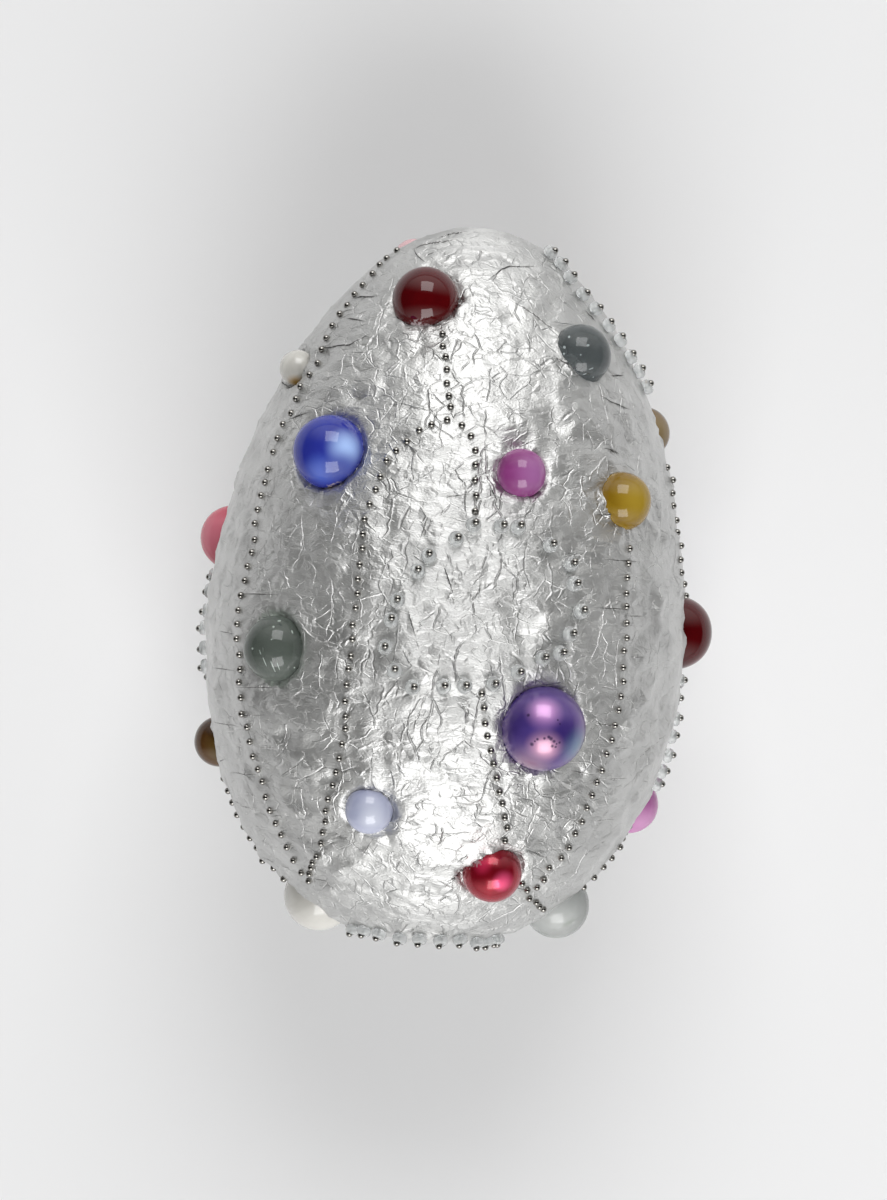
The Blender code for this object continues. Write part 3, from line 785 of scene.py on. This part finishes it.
# Each row's kind and its route, as turns and reaches; the front ring's are its beads' own places
ROWS = {
    "front_ring": ("bead", [(RING_MIDDLE[0] + turn, RING_MIDDLE[1] + reach) for turn, reach in RING_PLACES]),
    "left_ring": ("bead", ring_route(*LEFT_RING_MIDDLE)),
    "blunt_end_ring": ("bead", [(-180, -0.962), (-90, -0.962), (0, -0.962), (90, -0.962), (180, -0.962)]),
    "shoulder_beads": ("bead", [(60, 0.93), (56, 0.87), (60, 0.8), (70, 0.71), (76, 0.65),
                                (82, 0.59)]),
    "right_edge_beads": ("bead", [(93, -0.21), (91, -0.34), (90, -0.45), (94, -0.5)]),
    "stem_pins": ("pin", [(-12, 0.7), (-9, 0.63), (-4.5, 0.48), (-4.8, 0.436)]),
    "left_branch_pins": ("pin", [(-4.8, 0.436), (-11, 0.41), (-19, 0.325), (-22, 0.17), (-21.5, -0.06),
                                 (-22.5, -0.4), (-24, -0.5), (-30, -0.66), (-36, -0.757), (-50, -0.84)]),
    "right_branch_pins": ("pin", [(-4.8, 0.436), (0.8, 0.42), (3.6, 0.355), (3.5, 0.3), (4.8, 0.22),
                                  (3.9, 0.16)]),
    "lower_stem_pins": ("pin", [(9.5, -0.28), (11.7, -0.39), (14, -0.457), (17, -0.525), (21, -0.62),
                                (23, -0.7)]),
    "hook_pins": ("pin", [(35, -0.785), (42, -0.825), (60, -0.865)]),
    "right_side_pins": ("pin", [(48, 0.18), (46.3, 0.05), (46, -0.2), (47, -0.28), (46, -0.41),
                                (45, -0.7), (42, -0.74), (43, -0.8)]),
    "left_side_pins": ("pin", [(-70, 0.91), (-62, 0.83), (-60, 0.69), (-56, 0.53), (-59, 0.37),
                               (-57, 0.0), (-55.5, -0.3), (-53, -0.49), (-51, -0.68), (-50, -0.84)]),
    "left_low_pins": ("pin", [(-93, -0.56), (-90, -0.64), (-86, -0.72), (-80, -0.79), (-76, -0.85)]),
    "right_edge_pins": ("pin", [(82, 0.38), (78, 0.23), (77, 0.1), (82, 0.03)]),
    "right_low_pins": ("pin", [(96, -0.63), (85, -0.68), (78, -0.74), (80, -0.8)]),
    "back_pins": ("pin", [(122, 0.78), (124, 0.5), (116, 0.2), (120, -0.2), (128, -0.55), (124, -0.82)]),
}


def spaced_places(route, pitch):
    """Places along a row at an even pitch that fits its length."""
    samples = []
    for (turn_a, reach_a), (turn_b, reach_b) in zip(route, route[1:]):
        for i in range(LEG_SAMPLES):
            share = i / LEG_SAMPLES
            samples.append((turn_a + (turn_b - turn_a) * share, reach_a + (reach_b - reach_a) * share))
    samples.append(route[-1])
    places = [foil_place(turn, reach) for turn, reach in samples]
    walked = [0.0]
    for (before, _), (after, _) in zip(places, places[1:]):
        walked.append(walked[-1] + (after - before).length)
    gaps = max(1, round(walked[-1] / pitch))
    marks = [walked[-1] * i / gaps for i in range(gaps + 1)]
    return [places[min(bisect.bisect_left(walked, mark), len(places) - 1)] for mark in marks]


def settled_places(name, foil_tree, taken, rng):
    """Places on the crumpled foil for one row, off the marbles and off all that is set already."""
    kind, route = ROWS[name]
    radius, pitch = (BEAD_WIDTH / 2, BEAD_PITCH) if kind == "bead" else (PIN_HEAD / 2, PIN_PITCH)
    if name == "front_ring":
        places = [foil_place(*place) for place in route]
    else:
        places = spaced_places(route, pitch)
    settled = []
    for point, outward in places:
        point = point + outward.orthogonal() * rng.uniform(-PLACE_SCATTER, PLACE_SCATTER)
        off_marbles = all((point - centre).length > ball + radius + SOCKET_GAP
                          for centre, ball in BALLS.values())
        off_others = all((point - other).length > radius + other_radius for other, other_radius in taken)
        if off_marbles and off_others:
            taken.append((point.copy(), radius))
            hit = foil_tree.ray_cast(point + outward * 0.01, -outward)[0]
            lean = Vector([rng.uniform(-LEAN_SCATTER, LEAN_SCATTER) for _ in range(3)])
            settled.append((hit or point, (outward + lean).normalized()))
    return settled


def repeated(name, template, frames):
    """One piece made of a template's copies, one at each frame."""
    shape = bmesh.new()
    for place in frames:
        before = len(shape.verts)
        shape.from_mesh(template)
        shape.verts.ensure_lookup_table()
        bmesh.ops.transform(shape, matrix=place, verts=shape.verts[before:])
    mesh = bpy.data.meshes.new(name)
    shape.to_mesh(mesh)
    shape.free()
    piece = bpy.data.objects.new(name, mesh)
    bpy.context.scene.collection.objects.link(piece)
    return piece


def template_from(make):
    """Model a small shape at the origin and take its mesh."""
    make()
    shape = bpy.context.object
    bpy.ops.object.transform_apply(location=True, rotation=True, scale=True)
    bpy.ops.object.shade_smooth()
    mesh = shape.data
    bpy.data.objects.remove(shape)
    return mesh


def pin_template():
    """A round pin head."""
    bpy.ops.mesh.primitive_uv_sphere_add(segments=12, ring_count=8, radius=PIN_HEAD / 2)


def bead_template():
    """A round glass seed bead with the hole that its pin goes through."""
    wall = (BEAD_WIDTH - BEAD_HOLE) / 4
    bpy.ops.mesh.primitive_torus_add(major_segments=18, minor_segments=10, minor_radius=wall,
                                     major_radius=BEAD_WIDTH / 2 - wall)
    bpy.context.object.scale.z = BEAD_TALL / (2 * wall)


def standing(place, outward, rise):
    """The frame of a small piece standing on the foil."""
    return Matrix.Translation(place + outward * rise) @ outward.to_track_quat("Z", "Y").to_matrix().to_4x4()


def steel_material():
    """Nickel-plated steel, tumbled: a bright ball with faint dull spots."""
    material = new_material("nickel_plated_steel_tumbled")
    coords = add(material, "TexCoord")
    spots = add(material, "TexNoise", {"Vector": (coords, "Object"), "Scale": 1 / 0.0008})
    rough = add(material, "MapRange", {0: (spots, 0), "To Min": 0.02, "To Max": 0.06})
    fill(material, shader_of(material), {"Base Color": linear("8C8A86"), "Metallic": 1.0,
                                         "Roughness": (rough, 0)})
    return material


def bead_material():
    """Clear glass seed beads, drawn and fire-polished: soft edges and small ripples."""
    material = new_material("clear_glass_fire_polished")
    coords = add(material, "TexCoord")
    ripple = add(material, "TexNoise", {"Vector": (coords, "Object"), "Scale": 1 / 0.0015})
    bump = add(material, "Bump", {"Height": (ripple, 0), "Distance": 0.0001, "Strength": 0.3})
    fill(material, shader_of(material), {"Base Color": linear("F2F4F4"), "Roughness": 0.04, "IOR": 1.4,
                                         "Transmission Weight": 0.68, "Normal": (bump, 0)})
    return material


def make_rows(foil):
    """Every row of pins and beads, each row a piece of its own."""
    tree = BVHTree.FromPolygons([vertex.co for vertex in foil.data.vertices],
                                [polygon.vertices for polygon in foil.data.polygons])
    rng = random.Random(5)
    pin, bead = template_from(pin_template), template_from(bead_template)
    steel, glass = steel_material(), bead_material()
    taken = []
    for name, (kind, _) in ROWS.items():
        places = settled_places(name, tree, taken, rng)
        pin_rise = PIN_RISE * PIN_HEAD / 2
        if kind == "bead":
            beads = repeated(name + "_glass", bead,
                             [standing(place, outward, BEAD_TALL * BEAD_RISE) for place, outward in places])
            finish_row(beads, glass)
            pin_rise = BEAD_TALL * BEAD_PIN_RISE
            places = [(place + outward.orthogonal() * BEAD_PIN_ASIDE, outward) for place, outward in places]
        heads = repeated(name + "_heads", pin,
                         [standing(place, outward, pin_rise) for place, outward in places])
        finish_row(heads, steel)


def finish_row(piece, material):
    """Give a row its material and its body."""
    piece.data.materials.clear()
    piece.data.materials.append(material)
    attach(piece, "root")


# Floor, lights and camera

def make_floor():
    """A wide sheet of pale card, matt all over."""
    bpy.ops.mesh.primitive_plane_add(size=8)
    floor = bpy.context.object
    floor.name = "floor"
    material = new_material("matt_white_card")
    coords = add(material, "TexCoord")
    cloud = add(material, "TexNoise", {"Vector": (coords, "Object"), "Scale": 3.0})
    mix = add(material, "Mix", {0: (cloud, 0), 6: linear("E9E9EA"), 7: linear("EDEDEE")}, data_type="RGBA")
    fill(material, shader_of(material), {"Base Color": (mix, 2), "Roughness": 0.9})
    floor.data.materials.append(material)


def make_light(name, along, watts):
    """A square soft light that faces the egg, turned from overhead across and along the picture."""
    lamp = bpy.data.lights.new(name, "AREA")
    lamp.shape = "SQUARE"
    lamp.size = SOFTBOX_SIZE
    lamp.energy = watts
    light = bpy.data.objects.new(name, lamp)
    bpy.context.scene.collection.objects.link(light)
    toward = Vector((math.tan(math.radians(SOFTBOX_ACROSS)), math.tan(math.radians(along)), 1)).normalized()
    toward = Matrix.Rotation(EGG_LEAN, 3, "Z") @ toward
    light.location = AXIS + toward * SOFTBOX_DISTANCE
    light.rotation_euler = toward.to_track_quat("Z", "Y").to_euler()


def make_lights():
    """A soft box past each end of the egg, and a room that is darker overhead and to the left."""
    make_light("far_softbox", SOFTBOX_ALONG, FAR_WATTS)
    make_light("near_softbox", -SOFTBOX_ALONG, NEAR_WATTS)
    world = bpy.data.worlds.new("room_dark_overhead")
    world.use_nodes = True
    nodes, links = world.node_tree.nodes, world.node_tree.links
    way, parts, ends, side, ramp = (nodes.new("ShaderNode" + kind) for kind in (
        "TexCoord", "SeparateXYZ", "Math", "Math", "ValToRGB"))
    ends.operation, side.operation = "ABSOLUTE", "MULTIPLY_ADD"
    side.inputs[1].default_value = ROOM_RIGHT_SHARE
    links.new(way.outputs["Generated"], parts.inputs[0])
    links.new(parts.outputs["Y"], ends.inputs[0])
    links.new(parts.outputs["X"], side.inputs[0])
    links.new(ends.outputs[0], side.inputs[2])
    links.new(side.outputs[0], ramp.inputs[0])
    links.new(ramp.outputs[0], nodes["Background"].inputs["Color"])
    ramp.color_ramp.interpolation = "EASE"
    ramp.color_ramp.elements[0].position = ROOM_MIDDLE_SPAN
    ramp.color_ramp.elements[0].color = linear(ROOM_MIDDLE)
    ramp.color_ramp.elements[1].color = linear(ROOM_ENDS)
    nodes["Background"].inputs["Strength"].default_value = ROOM_STRENGTH
    bpy.context.scene.world = world
    bpy.context.scene.view_settings.view_transform = "Standard"


def make_camera():
    """A long lens straight above the egg, turned so that the pointed end leans to the right."""
    data = bpy.data.cameras.new("camera")
    data.sensor_width = SENSOR
    data.lens = SENSOR * CAMERA_DISTANCE / (METRES_PER_PX * PHOTO_HEIGHT_PX)
    data.clip_start = 0.05
    camera = bpy.data.objects.new("camera", data)
    bpy.context.scene.collection.objects.link(camera)
    right = (PHOTO_MIDDLE_PX[0] - EGG_MIDDLE_PX[0]) * METRES_PER_PX
    up = (EGG_MIDDLE_PX[1] - PHOTO_MIDDLE_PX[1]) * METRES_PER_PX
    turned = Matrix.Rotation(EGG_LEAN, 4, "Z")
    camera.location = AXIS + turned @ Vector((right, up, CAMERA_DISTANCE))
    camera.rotation_euler = (0, 0, EGG_LEAN)
    bpy.context.scene.camera = camera


foil = make_foil()
for name in MARBLES:
    make_marble(name)
make_rows(foil)
make_floor()
make_lights()
make_camera()
